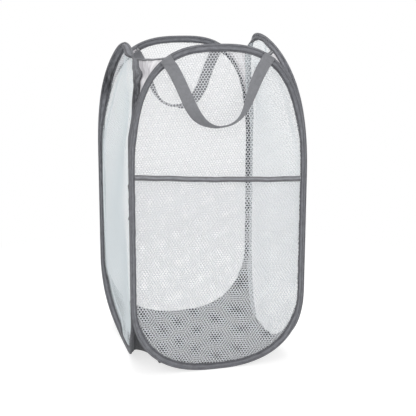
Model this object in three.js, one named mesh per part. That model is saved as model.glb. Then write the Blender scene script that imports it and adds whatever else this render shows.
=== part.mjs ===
// Pop up laundry hamper: a square, open topped basket of four upright mesh panels.
// Each panel is stretched in an oval ring of spring wire, which runs in the outer fold of a
// woven tape. The tapes of neighbouring panels are sewn together along the corners.
// Millimetres, +Z up. The origin is on the floor, under the middle of the whole hamper.
// The front panel, with the pocket, faces -Y.
import * as THREE from 'three';

// Driving dimensions

// The box of panels
const PANEL_OFFSET = 165.5; // from the middle of the hamper to the middle of a tape's thickness
const FRONT_HEIGHT = 607; // front and rear panels, over the tape
const SIDE_HEIGHT = 617; // left and right panels, over the tape
const TOP_ARC_HEIGHT = 245; // from the end of the straight sides to the top, front and rear
const BOTTOM_ARC_HEIGHT = 150;
const TOP_ARC_POWER = 2.75; // 2 is an ellipse, more is squarer
const SIDE_TOP_ARC_POWER = 2.15;
const FRONT_BOTTOM_ARC_POWER = 2.15;
const REAR_BOTTOM_ARC_POWER = 2.45;
const SIDE_BOTTOM_ARC_POWER = 2.05;
const FRONT_TOP_LEAN = 12; // how far the middle of the top stands in from the corners
const REAR_TOP_LEAN = 34;
const SIDE_TOP_LEAN = 42;
const FRONT_BOTTOM_LEAN = 16;
const SIDE_BOTTOM_LEAN = 22;
const LEAN_POWER = 1.4;
const SEAM_GAP = 0.35; // between the tapes of two panels at a corner

// Spring wire and its crimped sleeve
const WIRE_RADIUS = 1;
const SLEEVE_BORE_RADIUS = 1.25;
const SLEEVE_RADIUS = 1.6;
const SLEEVE_LENGTH = 20;

// Folded tape round each panel
const TAPE_THICKNESS = 0.7;
const TAPE_CAVITY_RADIUS = 1.9; // inside of the fold that holds the wire
const TAPE_SLOT = 1.4; // between the two flanges, for the mesh
const TAPE_WIDTH = 16; // folded, on the arcs
const SEAM_TAPE_WIDTH = 10.5; // folded, along the corners
const SEAM_END_SHARE = 0.93; // share of the half width at which the tape has its full width
const FOOT_FLAT = 0.7; // depth of the flat on which each ring stands

// Mesh panels
const MESH_THICKNESS = 0.4;
const MESH_FREE_EDGE = 1.5; // from the tape's inner edge to the net's first row
const MESH_TUCK = 0.5; // from the bottom of the slot to the mesh's edge
const NET_PITCH_ACROSS = 44; // between gaps of one row, front panel and pocket
const NET_PITCH_UP = 54; // between every second row
const OPEN_NET_PITCH_ACROSS = 62; // the other panels
const OPEN_NET_PITCH_UP = 79;
const NET_STRAND = 6;

// Pocket on the front panel
const POCKET_HEIGHT = 375; // middle of the top edge above the floor
const POCKET_SLANT = 18; // how far its left end stands above its right end
const POCKET_BOW = 15; // how far the middle of its top stands off the panel
const POCKET_EDGE_STAND = 1.15; // off the middle of the panel's mesh at its sewn edges
const POCKET_BOW_POWER = 0.45;
const POCKET_FREE_EDGE = 2; // from the sewn edge to the net's first row
const POCKET_TAPE_HEIGHT = 10;
const POCKET_TAPE_DEPTH = 2.9;
const POCKET_TAPE_WALL = 0.8;

// Cloth gussets in the top corners and the tape along their top edges
const GUSSET_THICKNESS = 0.6;
const GUSSET_SAG = 9;
const GUSSET_FOLD = 3;
const GUSSET_FOLDS = 2;
const HEM_HEIGHT = 5;
const HEM_THICKNESS = 0.9;

// Base cloth
const BASE_THICKNESS = 1;
const BASE_LIFT = 1.5; // its underside above the floor
const BASE_RING_SHARES = [1, 0.9, 0.72];
const BASE_RISE_POWER = 1.6;

// Carrying handles of webbing
const WEBBING_WIDTH = 22;
const WEBBING_THICKNESS = 1.6;
const HANDLE_HALF_SPAN = 84; // from the middle of the panel to the middle of a sewn end
const HANDLE_DROP = 118; // from the start of the free loop to its lowest point
const HANDLE_TWIST = 1.25; // turn of the webbing at the lowest point, radians
const HANDLE_BELLY = 12; // how far the lowest point stands off the line of its ends
const HANDLE_END_LENGTH = 15; // stretch that is sewn down
const HANDLE_END_INSET = 5.5; // from the tape's outer edge, clear of the bead
const HANDLE_START_SHARE = 0.55; // pull of the curve at its start and at its lowest point
const HANDLE_LOW_SHARE = 0.62;
const TWIST_DELAY_SHARE = 0.15; // share of the half loop that hangs flat

// Running clearance between pieces that lie on each other
const GAP = 0.3;

// Steps along the curves
const TOP_STEPS = 18;
const BOTTOM_STEPS = 19;
const HANDLE_STEPS = 24;
const GUSSET_COLUMNS = 9;
const POCKET_COLUMNS = 10;
const BEND_SHARES = [0.0005, 0.0015]; // across and up, shares of the half width
const ANGLE_SLACK = 0.001; // radians, below which two triangles stay as they are

const BEAD_RADIUS = TAPE_CAVITY_RADIUS + TAPE_THICKNESS;
const FLANGE_HALF = TAPE_SLOT / 2 + TAPE_THICKNESS;
const OCTANT = Math.PI / 4;
const BEAD_HALF_THICKNESS = BEAD_RADIUS * Math.cos(OCTANT / 2);
const BEAD_INSET = (BEAD_HALF_THICKNESS * 2 + SEAM_GAP) / Math.SQRT2; // from the corner to a bead's middle
const HALF_WIDTH = PANEL_OFFSET - BEAD_INSET + BEAD_HALF_THICKNESS; // over the tape

const GREY_TAPE = { color: 0x808186, roughness: 0.9, metalness: 0 };
const WHITE_MESH = { color: 0xe6e9ea, roughness: 0.75, metalness: 0 };
const WHITE_CLOTH = { color: 0xeceded, roughness: 0.8, metalness: 0 };
const GREY_CLOTH = { color: 0x7c7d82, roughness: 0.95, metalness: 0 };
const SPRING_STEEL = { color: 0x9a9da1, roughness: 0.35, metalness: 1 };
const GREY_WEBBING = { color: 0x77787d, roughness: 0.85, metalness: 0 };

// Solids

// A geometry from points and triangles, turned so that its faces point out.
function solid(points, triangles) {
  let volume = 0;
  for (const [a, b, c] of triangles) {
    volume += points[a].dot(new THREE.Vector3().crossVectors(points[b], points[c]));
  }
  const faces = volume > 0 ? triangles : triangles.map(([a, b, c]) => [a, c, b]);
  const geometry = new THREE.BufferGeometry();
  const numbers = points.flatMap((p) => p.toArray());
  geometry.setAttribute('position', new THREE.Float32BufferAttribute(numbers, 3));
  geometry.setIndex(faces.flat());
  geometry.computeVertexNormals();
  return geometry;
}

// Joins sections of equal count into a solid: a closed ring, or a bar with flat ends. The strips
// that start at the points in crossed are split along their other diagonal.
function loft(sections, closed, crossed = []) {
  const count = sections[0].length;
  const points = sections.flat();
  const triangles = [];
  const spans = closed ? sections.length : sections.length - 1;
  for (let i = 0; i < spans; i += 1) {
    const here = i * count;
    const next = ((i + 1) % sections.length) * count;
    for (let k = 0; k < count; k += 1) {
      const l = (k + 1) % count;
      if (crossed.includes(k)) {
        triangles.push([here + k, here + l, next + k], [here + l, next + l, next + k]);
      } else {
        triangles.push([here + k, here + l, next + l], [here + k, next + l, next + k]);
      }
    }
  }
  if (!closed) {
    const outline = flatten(sections[0]);
    const cap = THREE.ShapeUtils.triangulateShape(outline, []);
    const turned = THREE.ShapeUtils.isClockWise(outline);
    const last = (sections.length - 1) * count;
    for (const [a, b, c] of cap) {
      const ordered = area([outline[a], outline[b], outline[c]]) > 0 === !turned ? [a, b, c] : [a, c, b];
      triangles.push([ordered[0], ordered[2], ordered[1]]);
      triangles.push(ordered.map((k) => last + k));
    }
  }
  return solid(points, triangles);
}

// A section's points in its own plane.
function flatten(section) {
  const across = new THREE.Vector3().subVectors(section[1], section[0]).normalize();
  const normal = new THREE.Vector3();
  section.forEach((p, i) => {
    const q = section[(i + 1) % section.length];
    normal.add(new THREE.Vector3().crossVectors(p, q));
  });
  const up = new THREE.Vector3().crossVectors(normal.normalize(), across);
  return section.map((p) => new THREE.Vector2(p.dot(across), p.dot(up)));
}

function area(outline) {
  return THREE.ShapeUtils.area(outline);
}

// The angle at a corner of a flat triangle between two others
function angleAt(corner, one, other) {
  const a = one.clone().sub(corner);
  const b = other.clone().sub(corner);
  return Math.atan2(Math.abs(a.cross(b)), a.dot(b));
}

// Faces on the two sides of each inner edge, with the edge's ends first in each
function sharedEdges(faces) {
  const sides = new Map();
  faces.forEach((face, index) => {
    face.forEach((a, k) => {
      const b = face[(k + 1) % face.length];
      const name = `${Math.min(a, b)} ${Math.max(a, b)}`;
      const across = face.find((c) => c !== a && c !== b);
      sides.set(name, [...(sides.get(name) ?? []), { index, a, b, across }]);
    });
  });
  return [...sides.values()].filter((pair) => pair.length > 1);
}

// Turns the shared edges of long thin triangles until the sheet has none to turn
function relax(corners, faces) {
  const spent = new Set();
  for (const [near, far] of sharedEdges(faces)) {
    const [a, b, c, d] = [near.a, near.b, near.across, far.across].map((k) => corners[k]);
    const wide = angleAt(c, a, b) + angleAt(d, a, b) > Math.PI + ANGLE_SLACK;
    if (wide && !spent.has(near.index) && !spent.has(far.index)) {
      faces[near.index] = [near.across, near.a, far.across];
      faces[far.index] = [far.across, near.b, near.across];
      spent.add(near.index).add(far.index);
    }
  }
  return spent.size ? relax(corners, faces) : faces;
}

// A place in the flat moved a little, so that no nodes in a row stay on one straight line
function bent(flat) {
  const [across, up] = BEND_SHARES.map((share) => share / HALF_WIDTH);
  return new THREE.Vector2(flat.x + across * flat.y ** 2, flat.y - up * flat.x ** 2);
}

// A thin sheet with holes. Each node has its place in the flat (flat) and its two faces
// (front, back). rim is the outer edge, collar an optional second row inside it.
function sheet(rim, collar, holes) {
  const inner = collar.length ? collar : rim;
  const nodes = [...rim, ...collar, ...holes.flat()];
  const start = collar.length;
  const flats = (loop) => loop.map((node) => bent(node.flat));
  const corners = [...inner, ...holes.flat()].map((node) => node.flat);
  const faces = relax(corners, THREE.ShapeUtils.triangulateShape(flats(inner), holes.map(flats)));
  const layer = faces.map((f) => f.map((k) => k + start));
  const loops = [rim.map((_, k) => k)];
  rim.forEach((_, k) => {
    const l = (k + 1) % rim.length;
    if (collar.length) {
      layer.push([k, l, start + l], [k, start + l, start + k]);
    }
  });
  let count = rim.length + collar.length;
  for (const hole of holes) {
    const at = count;
    loops.push(hole.map((_, k) => at + k));
    count += hole.length;
  }
  const triangles = [];
  layer.forEach((triangle, i) => {
    const turned = i < faces.length && area(triangle.map((k) => nodes[k].flat)) < 0;
    const [a, b, c] = turned ? [triangle[0], triangle[2], triangle[1]] : triangle;
    triangles.push([a, b, c], [count + a, count + c, count + b]);
  });
  for (const loop of loops) {
    loop.forEach((a, k) => {
      const b = loop[(k + 1) % loop.length];
      triangles.push([b, a, count + a], [b, count + a, count + b]);
    });
  }
  return solid([...nodes.map((n) => n.front), ...nodes.map((n) => n.back)], triangles);
}

function piece(name, geometry, finish) {
  const mesh = new THREE.Mesh(geometry, new THREE.MeshStandardMaterial(finish));
  mesh.name = name;
  return mesh;
}

function smooth(x) {
  const t = Math.min(Math.max(x, 0), 1);
  return t * t * (3 - 2 * t);
}

// Panels: u runs across the panel, z up and the second coordinate in towards the hamper's middle

function sidePanel(name) {
  return {
    name,
    height: SIDE_HEIGHT,
    topLean: SIDE_TOP_LEAN,
    bottomLean: SIDE_BOTTOM_LEAN,
    topPower: SIDE_TOP_ARC_POWER,
    bottomPower: SIDE_BOTTOM_ARC_POWER,
    net: [OPEN_NET_PITCH_ACROSS, OPEN_NET_PITCH_UP],
  };
}

const PANELS = [
  {
    name: 'front',
    height: FRONT_HEIGHT,
    topLean: FRONT_TOP_LEAN,
    bottomLean: FRONT_BOTTOM_LEAN,
    topPower: TOP_ARC_POWER,
    bottomPower: FRONT_BOTTOM_ARC_POWER,
    net: [NET_PITCH_ACROSS, NET_PITCH_UP],
  },
  sidePanel('right'),
  {
    name: 'rear',
    height: FRONT_HEIGHT,
    topLean: REAR_TOP_LEAN,
    bottomLean: FRONT_BOTTOM_LEAN,
    topPower: TOP_ARC_POWER,
    bottomPower: REAR_BOTTOM_ARC_POWER,
    net: [OPEN_NET_PITCH_ACROSS, OPEN_NET_PITCH_UP],
  },
  sidePanel('left'),
];

// Levels of a panel's outer edge. The ring stands on a flat that is cut into its lowest stretch.
function levels(panel) {
  const bottom = -FOOT_FLAT;
  const top = panel.height;
  const shoulder = top - TOP_ARC_HEIGHT - (panel.height - FRONT_HEIGHT);
  return { bottom, top, shoulder, hip: bottom + BOTTOM_ARC_HEIGHT, middle: (bottom + top) / 2 };
}

// How far the panel's surface stands in at a place
function lean(panel, u, z) {
  const { bottom, top, middle } = levels(panel);
  const side = 1 - (u / HALF_WIDTH) ** 2;
  const above = Math.max(z - middle, 0) / (top - middle);
  const below = Math.max(middle - z, 0) / (middle - bottom);
  return side * (panel.topLean * above ** LEAN_POWER + panel.bottomLean * below ** LEAN_POWER);
}

// The tape's outer edge: a half turn over the top, a half turn under the bottom, straight sides
function ringLine(panel) {
  const { bottom, top, shoulder, hip } = levels(panel);
  const waist = (shoulder + hip) / 2;
  const line = [];
  const add = (u, z) => line.push(new THREE.Vector3(u, lean(panel, u, z), z));
  const arc = (angle, power, level, reach) => {
    const c = Math.cos(angle);
    const s = Math.abs(Math.sin(angle));
    add(Math.sign(c) * HALF_WIDTH * Math.abs(c) ** (2 / power), level + reach * s ** (2 / power));
  };
  for (let i = 0; i <= TOP_STEPS; i += 1) {
    arc((Math.PI * i) / TOP_STEPS, panel.topPower, shoulder, top - shoulder);
  }
  add(-HALF_WIDTH, waist);
  for (let i = 0; i <= BOTTOM_STEPS; i += 1) {
    arc(Math.PI + (Math.PI * i) / BOTTOM_STEPS, panel.bottomPower, hip, bottom - hip);
  }
  add(HALF_WIDTH, waist);
  return line;
}

// A frame at each step: at the tape's outer edge, along it, in across the tape towards the mesh,
// and out off the panel
function ringFrames(panel) {
  const line = ringLine(panel);
  return line.map((at, i) => {
    const before = line[(i + line.length - 1) % line.length];
    const after = line[(i + 1) % line.length];
    const along = new THREE.Vector3().subVectors(after, before).normalize();
    const probe = new THREE.Vector3(-along.z, 0, along.x).normalize();
    const reach = MESH_FREE_EDGE;
    const rise = lean(panel, at.x + probe.x * reach, at.z + probe.z * reach) - at.y;
    const seam = smooth((Math.abs(at.x) / HALF_WIDTH - SEAM_END_SHARE) / (1 - SEAM_END_SHARE));
    const flat = probe.setY((rise / reach) * (1 - seam)).normalize();
    const off = new THREE.Vector3().crossVectors(along, flat).normalize();
    const width = TAPE_WIDTH + (SEAM_TAPE_WIDTH - TAPE_WIDTH) * seam;
    return { at, along, in: flat, out: off, width };
  });
}

// A point of a frame: across from the tape's outer edge, off the middle of its thickness
function framePoint(frame, across, off) {
  return frame.at.clone().addScaledVector(frame.in, across).addScaledVector(frame.out, off);
}

// Round section of eight sides, flat towards the tape's outer edge, as [across, off] pairs
function beadPoints(radius, corners) {
  return corners.map((k) => {
    const angle = OCTANT * (k + 1 / 2);
    return [BEAD_HALF_THICKNESS - radius * Math.cos(angle), radius * Math.sin(angle)];
  });
}

// Folded tape: a bead at the outer edge, two flanges that take the mesh between them
function tapeSection(width) {
  const root = BEAD_HALF_THICKNESS * 2;
  const half = TAPE_SLOT / 2;
  const outside = [[width, FLANGE_HALF], [root, FLANGE_HALF], ...beadPoints(BEAD_RADIUS, [1, 0, -1, -2])];
  const inside = beadPoints(TAPE_CAVITY_RADIUS, [-3, -2, -1, 0, 1, 2]);
  return [
    ...outside,
    [root, -FLANGE_HALF],
    [width, -FLANGE_HALF],
    [width, -half],
    [root - TAPE_THICKNESS, -half],
    ...inside,
    [root - TAPE_THICKNESS, half],
    [width, half],
  ];
}

// The inner face of the inside flange, which splits as the mesh beside it does
const SLOT_FACE = 8;

function binding(panel) {
  const sections = ringFrames(panel).map((frame) => tapeSection(frame.width).map(([across, off]) => {
    const p = framePoint(frame, across, off);
    return p.setZ(Math.max(p.z, 0));
  }));
  return piece(`${panel.name}_binding`, loft(sections, true, [SLOT_FACE]), GREY_TAPE);
}

function hexagon(frame, radius) {
  return [0, 1, 2, 3, 4, 5].map((k) => {
    const angle = (Math.PI / 3) * k;
    return framePoint(frame, BEAD_HALF_THICKNESS + radius * Math.cos(angle), radius * Math.sin(angle));
  });
}

function springHoop(panel) {
  const sections = ringFrames(panel).map((frame) => hexagon(frame, WIRE_RADIUS));
  return piece(`${panel.name}_spring_hoop`, loft(sections, true), SPRING_STEEL);
}

// The crimped sleeve over the wire's ends, halfway up the side at the right
function wireSleeve(panel) {
  const frames = ringFrames(panel);
  const middle = frames[frames.length - 1];
  const ends = [-SLEEVE_LENGTH / 2, SLEEVE_LENGTH / 2].map((shift) => {
    const frame = { ...middle, at: middle.at.clone().addScaledVector(middle.along, shift) };
    return { outer: hexagon(frame, SLEEVE_RADIUS), bore: hexagon(frame, SLEEVE_BORE_RADIUS) };
  });
  const [low, high] = ends;
  const tube = loft([low.outer, high.outer, high.bore, low.bore], true);
  return piece(`${panel.name}_wire_sleeve`, tube, SPRING_STEEL);
}

// Net

// Diamond gaps of a net in rows, each second row set over by half a pitch, where they clear the edge
function netGaps(across, up, outline, level) {
  const half = [across / 2 - NET_STRAND, up / 2 - NET_STRAND];
  const top = Math.max(...outline.map((p) => p.y));
  const rows = Math.ceil(top / (up / 2));
  const columns = Math.ceil((HALF_WIDTH * 2) / across);
  const gaps = [];
  for (let row = 0; row <= rows; row += 1) {
    for (let column = -columns; column <= columns; column += 1) {
      const u = across * (column + (row % 2) / 2);
      const z = level + (up / 2) * row;
      const gap = [[half[0], 0], [0, -half[1]], [-half[0], 0], [0, half[1]]];
      const corners = gap.map(([x, y]) => new THREE.Vector2(u + x, z + y));
      if (corners.every((corner) => clearance(outline, corner) > NET_STRAND / 2)) {
        gaps.push(corners);
      }
    }
  }
  return gaps;
}

// Distance from a point inside an outline to its edge, below zero outside it
function clearance(outline, point) {
  let least = Infinity;
  let inside = false;
  outline.forEach((a, i) => {
    const b = outline[(i + 1) % outline.length];
    const edge = b.clone().sub(a);
    const share = THREE.MathUtils.clamp(point.clone().sub(a).dot(edge) / edge.lengthSq(), 0, 1);
    least = Math.min(least, a.clone().addScaledVector(edge, share).distanceTo(point));
    if (a.y > point.y !== b.y > point.y && point.x < a.x + ((point.y - a.y) / (b.y - a.y)) * edge.x) {
      inside = !inside;
    }
  });
  return inside ? least : -least;
}

// A node of a sheet that stands off a frame or off the panel's surface
function frameNode(frame, across, off) {
  const front = framePoint(frame, across, off + MESH_THICKNESS / 2);
  const back = framePoint(frame, across, off - MESH_THICKNESS / 2);
  return { flat: new THREE.Vector2(front.x, front.z), front, back };
}

function surfaceNode(panel, flat, stand) {
  const depth = lean(panel, flat.x, flat.y) - stand;
  const front = new THREE.Vector3(flat.x, depth - MESH_THICKNESS / 2, flat.y);
  return { flat, front, back: front.clone().setY(depth + MESH_THICKNESS / 2) };
}

function panelMesh(panel) {
  const frames = ringFrames(panel);
  const slotFloor = BEAD_HALF_THICKNESS * 2 - TAPE_THICKNESS;
  const rim = frames.map((frame) => frameNode(frame, slotFloor + MESH_TUCK, 0));
  const collar = frames.map((frame) => frameNode(frame, frame.width + MESH_FREE_EDGE, 0));
  const edge = collar.map((node) => node.flat);
  const gaps = netGaps(...panel.net, edge, levels(panel).bottom);
  const holes = gaps.map((gap) => gap.map((flat) => surfaceNode(panel, flat, 0)));
  return piece(`${panel.name}_panel_mesh`, sheet(rim, collar, holes), WHITE_MESH);
}

// Pocket

// The level of the pocket's top edge at a place across the panel
function pocketTop(u) {
  return POCKET_HEIGHT - (POCKET_SLANT * u) / (HALF_WIDTH * 2);
}

// How far the pocket stands off the panel's mesh
function pocketStand(u, z) {
  const side = Math.max(1 - (u / HALF_WIDTH) ** 2, 0);
  const rise = Math.min(Math.max((z - TAPE_WIDTH) / (pocketTop(u) - TAPE_WIDTH), 0), 1);
  return POCKET_EDGE_STAND + POCKET_BOW * side * rise ** POCKET_BOW_POWER;
}

// Half the width that the pocket has between the corner tapes
function pocketReach() {
  return HALF_WIDTH - SEAM_TAPE_WIDTH - GAP;
}

// The frames along which the pocket is sewn, from its left top corner round to the right one
function pocketFrames(panel) {
  const below = (at) => at.z < pocketTop(at.x) - POCKET_TAPE_HEIGHT;
  const frames = ringFrames(panel).filter((frame) => below(frame.at));
  const left = frames.filter((frame) => frame.at.x < 0).sort((a, b) => b.at.z - a.at.z);
  const right = frames.filter((frame) => frame.at.x > 0).sort((a, b) => a.at.z - b.at.z);
  return [...left, ...right];
}

// A row of the pocket's cloth from right to left, at a depth below its top edge
function pocketRow(panel, reach, depth) {
  const row = [];
  for (let i = 0; i <= POCKET_COLUMNS; i += 1) {
    const u = THREE.MathUtils.lerp(reach, -reach, i / POCKET_COLUMNS);
    const flat = new THREE.Vector2(u, pocketTop(u) - depth);
    row.push(surfaceNode(panel, flat, pocketStand(flat.x, flat.y)));
  }
  return row;
}

function pocketMesh(panel) {
  const frames = pocketFrames(panel);
  const sewn = frames.map((frame) => frameNode(frame, frame.width + GAP, POCKET_EDGE_STAND));
  const rim = [...sewn, ...pocketRow(panel, pocketReach(), POCKET_TAPE_WALL + GAP)];
  const within = frames.map((frame) => {
    const { flat } = frameNode(frame, frame.width + GAP + POCKET_FREE_EDGE, 0);
    return surfaceNode(panel, flat, pocketStand(flat.x, flat.y));
  });
  const under = POCKET_TAPE_HEIGHT + POCKET_FREE_EDGE;
  const collar = [...within, ...pocketRow(panel, pocketReach() - POCKET_FREE_EDGE, under)];
  const edge = collar.map((node) => node.flat);
  const gaps = netGaps(...panel.net, edge, levels(panel).bottom);
  const holes = gaps.map((gap) => gap.map((flat) => surfaceNode(panel, flat, pocketStand(flat.x, flat.y))));
  return piece('pocket_mesh', sheet(rim, collar, holes), WHITE_MESH);
}

// Tape folded over the pocket's top edge, from corner to corner
function pocketTape(panel) {
  const reach = pocketReach() - GAP;
  const half = POCKET_TAPE_DEPTH / 2;
  const slot = half - POCKET_TAPE_WALL;
  const outline = [
    [half, 0],
    [half, -POCKET_TAPE_HEIGHT],
    [slot, -POCKET_TAPE_HEIGHT],
    [slot, -POCKET_TAPE_WALL],
    [-slot, -POCKET_TAPE_WALL],
    [-slot, -POCKET_TAPE_HEIGHT],
    [-half, -POCKET_TAPE_HEIGHT],
    [-half, 0],
  ];
  const sections = [];
  for (let i = 0; i <= POCKET_COLUMNS; i += 1) {
    const u = THREE.MathUtils.lerp(reach, -reach, i / POCKET_COLUMNS);
    sections.push(outline.map(([off, up]) => {
      const z = pocketTop(u) + up;
      return new THREE.Vector3(u, lean(panel, u, z) - pocketStand(u, z) - off, z);
    }));
  }
  return piece('pocket_top_tape', loft(sections, false), GREY_TAPE);
}

// Handles

// The frame of the tape where a handle is sewn on, at the right of the panel
function handleFrame(panel) {
  const frames = ringFrames(panel).filter((frame) => frame.at.z > levels(panel).middle && frame.at.x >= 0);
  const order = frames.sort((a, b) => a.at.x - b.at.x);
  const next = order.findIndex((frame) => frame.at.x > HANDLE_HALF_SPAN);
  const [a, b] = [order[next - 1], order[next]];
  const share = (HANDLE_HALF_SPAN - a.at.x) / (b.at.x - a.at.x);
  const mix = (key) => a[key].clone().lerp(b[key], share);
  const along = new THREE.Vector3().subVectors(a.at, b.at).normalize();
  const rough = mix('in');
  const out = new THREE.Vector3().crossVectors(along, rough).normalize();
  return { at: mix('at'), along, in: new THREE.Vector3().crossVectors(out, along).normalize(), out };
}

function mirrored(points) {
  return points.map((p) => new THREE.Vector3(-p.x, p.y, p.z));
}

// Where the free loop starts at the right: below its sewn end, and far enough off to swing past it
function handleStart(panel, face) {
  const frame = handleFrame(panel);
  const tilt = (Math.abs(frame.out.x) * WEBBING_WIDTH) / 2;
  const off = FLANGE_HALF + GAP * 3 + WEBBING_THICKNESS * 3 / 2 + tilt;
  return framePoint(frame, HANDLE_END_INSET + HANDLE_END_LENGTH, face * off);
}

// A sewn end of webbing on the tape, with its lower edge level, along the line on which the loop
// swings. face is 1 on the outside of the panel, -1 on the inside.
function handleEnd(panel, face, sign) {
  const frame = handleFrame(panel);
  const middle = face * (FLANGE_HALF + GAP * 2 + WEBBING_THICKNESS / 2);
  const edge = handleStart(panel, face).z + GAP;
  const corner = (side, layer) => {
    const off = middle + (layer * WEBBING_THICKNESS) / 2;
    return framePoint(frame, HANDLE_END_INSET, off).addScaledVector(frame.along, (side * WEBBING_WIDTH) / 2);
  };
  const upper = [corner(-1, -1), corner(1, -1), corner(1, 1), corner(-1, 1)];
  const lower = upper.map((p) => p.clone().addScaledVector(frame.in, (edge - p.z) / frame.in.z));
  const side = sign > 0 ? 'right' : 'left';
  const shaped = sign > 0 ? [upper, lower] : [mirrored(upper), mirrored(lower)];
  return piece(`${panel.name}_handle_end_${side}`, loft(shaped, false), GREY_WEBBING);
}

// The line of half the loop, from its start at the right to its lowest point in the middle
function handleCurve(panel, face) {
  const start = handleStart(panel, face);
  const low = start.z - HANDLE_DROP;
  const belly = start.y - face * HANDLE_BELLY;
  return new THREE.CubicBezierCurve3(
    start,
    start.clone().addScaledVector(handleFrame(panel).in, HANDLE_DROP * HANDLE_START_SHARE),
    new THREE.Vector3(start.x * HANDLE_LOW_SHARE, belly, low),
    new THREE.Vector3(0, belly, low),
  );
}

// A cross section of the webbing at a share of the half loop. It turns on its edge towards the
// lowest point, and the first one lies level.
function handleSection(curve, share, face) {
  const at = curve.getPoint(share);
  const along = curve.getTangent(share);
  const broad = new THREE.Vector3().crossVectors(along, new THREE.Vector3(0, -face, 0)).normalize();
  const level = new THREE.Vector3().crossVectors(broad, along).normalize();
  const turn = HANDLE_TWIST * smooth(share * (1 + TWIST_DELAY_SHARE) - TWIST_DELAY_SHARE);
  const width = broad.clone().multiplyScalar(Math.cos(turn)).addScaledVector(level, Math.sin(turn));
  const thick = new THREE.Vector3().crossVectors(along, width).normalize();
  if (share === 0) {
    width.set(1 / width.x, 0, 0);
  }
  const corner = (side, layer) => at.clone().addScaledVector(width, (side * WEBBING_WIDTH) / 2)
    .addScaledVector(thick, (layer * WEBBING_THICKNESS) / 2);
  return [corner(-1, -1), corner(1, -1), corner(1, 1), corner(-1, 1)];
}

// The free loop of webbing that hangs from both sewn ends
function handleLoop(panel, face) {
  const curve = handleCurve(panel, face);
  const half = [];
  for (let i = 0; i <= HANDLE_STEPS / 2; i += 1) {
    half.push(handleSection(curve, i / (HANDLE_STEPS / 2), face));
  }
  const other = half.slice(0, -1).reverse().map(mirrored);
  return piece(`${panel.name}_handle`, loft([...half, ...other], false), GREY_WEBBING);
}

// Pieces that join the panels

// Panels stand round the middle at quarter turns, the front one first
function toHamper(index, point) {
  const place = point.clone().setY(point.y - PANEL_OFFSET);
  return place.applyAxisAngle(new THREE.Vector3(0, 0, 1), (index * Math.PI) / 2);
}

function faceInside(frame, across, off) {
  return framePoint(frame, across, -(FLANGE_HALF + GAP + off));
}

// Rows of the gusset between panel index and the next: one row for each step of the two rings
const GUSSET_ROWS = [2, 3, 4, 5, 6];

function gussetRow(index, step) {
  const next = (index + 1) % PANELS.length;
  const here = ringFrames(PANELS[index])[step];
  const there = ringFrames(PANELS[next])[TOP_STEPS - step];
  const off = GUSSET_THICKNESS / 2;
  const from = toHamper(index, faceInside(here, here.width / 2, off));
  const to = toHamper(next, faceInside(there, there.width / 2, off));
  return { from, to };
}

// A point of the gusset's middle surface and the way it faces: the cloth sags in and has soft folds
function gussetPoint(index, row, share) {
  const { from, to } = gussetRow(index, GUSSET_ROWS[row]);
  const height = row / (GUSSET_ROWS.length - 1);
  const inward = new THREE.Vector3(-from.x - to.x, -from.y - to.y, 0).normalize();
  const slack = Math.sin(Math.PI * share);
  const fold = GUSSET_FOLD * Math.sin(Math.PI * 2 * GUSSET_FOLDS * share);
  return { at: from.lerp(to, share).addScaledVector(inward, slack * height * (GUSSET_SAG + fold)), inward };
}

function cornerName(index) {
  return ['front_right', 'rear_right', 'rear_left', 'front_left'][index];
}

function gusset(index) {
  const grid = GUSSET_ROWS.map((_, row) => {
    const cells = [];
    for (let column = 0; column <= GUSSET_COLUMNS; column += 1) {
      const { at, inward } = gussetPoint(index, row, column / GUSSET_COLUMNS);
      const half = inward.clone().multiplyScalar(GUSSET_THICKNESS / 2);
      cells.push([at.clone().sub(half), at.clone().add(half)]);
    }
    return cells;
  });
  const sections = grid[0].map((_, column) => [
    ...grid.map((cells) => cells[column][0]),
    ...grid.map((cells) => cells[column][1]).reverse(),
  ]);
  return piece(`${cornerName(index)}_gusset`, loft(sections, false), WHITE_CLOTH);
}

// Tape along the gusset's top edge, on its outer side
function gussetHem(index) {
  const last = GUSSET_ROWS.length - 1;
  const sections = [];
  for (let column = 1; column < GUSSET_COLUMNS; column += 1) {
    const { at, inward } = gussetPoint(index, last, column / GUSSET_COLUMNS);
    const below = gussetPoint(index, last - 1, column / GUSSET_COLUMNS).at;
    const down = below.sub(at).normalize();
    const corner = (drop, off) => at.clone().addScaledVector(down, drop).addScaledVector(inward, -off);
    const near = GUSSET_THICKNESS / 2 + GAP;
    const far = near + HEM_THICKNESS;
    sections.push([corner(0, near), corner(HEM_HEIGHT, near), corner(HEM_HEIGHT, far), corner(0, far)]);
  }
  return piece(`${cornerName(index)}_hem_tape`, loft(sections, false), GREY_TAPE);
}

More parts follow.
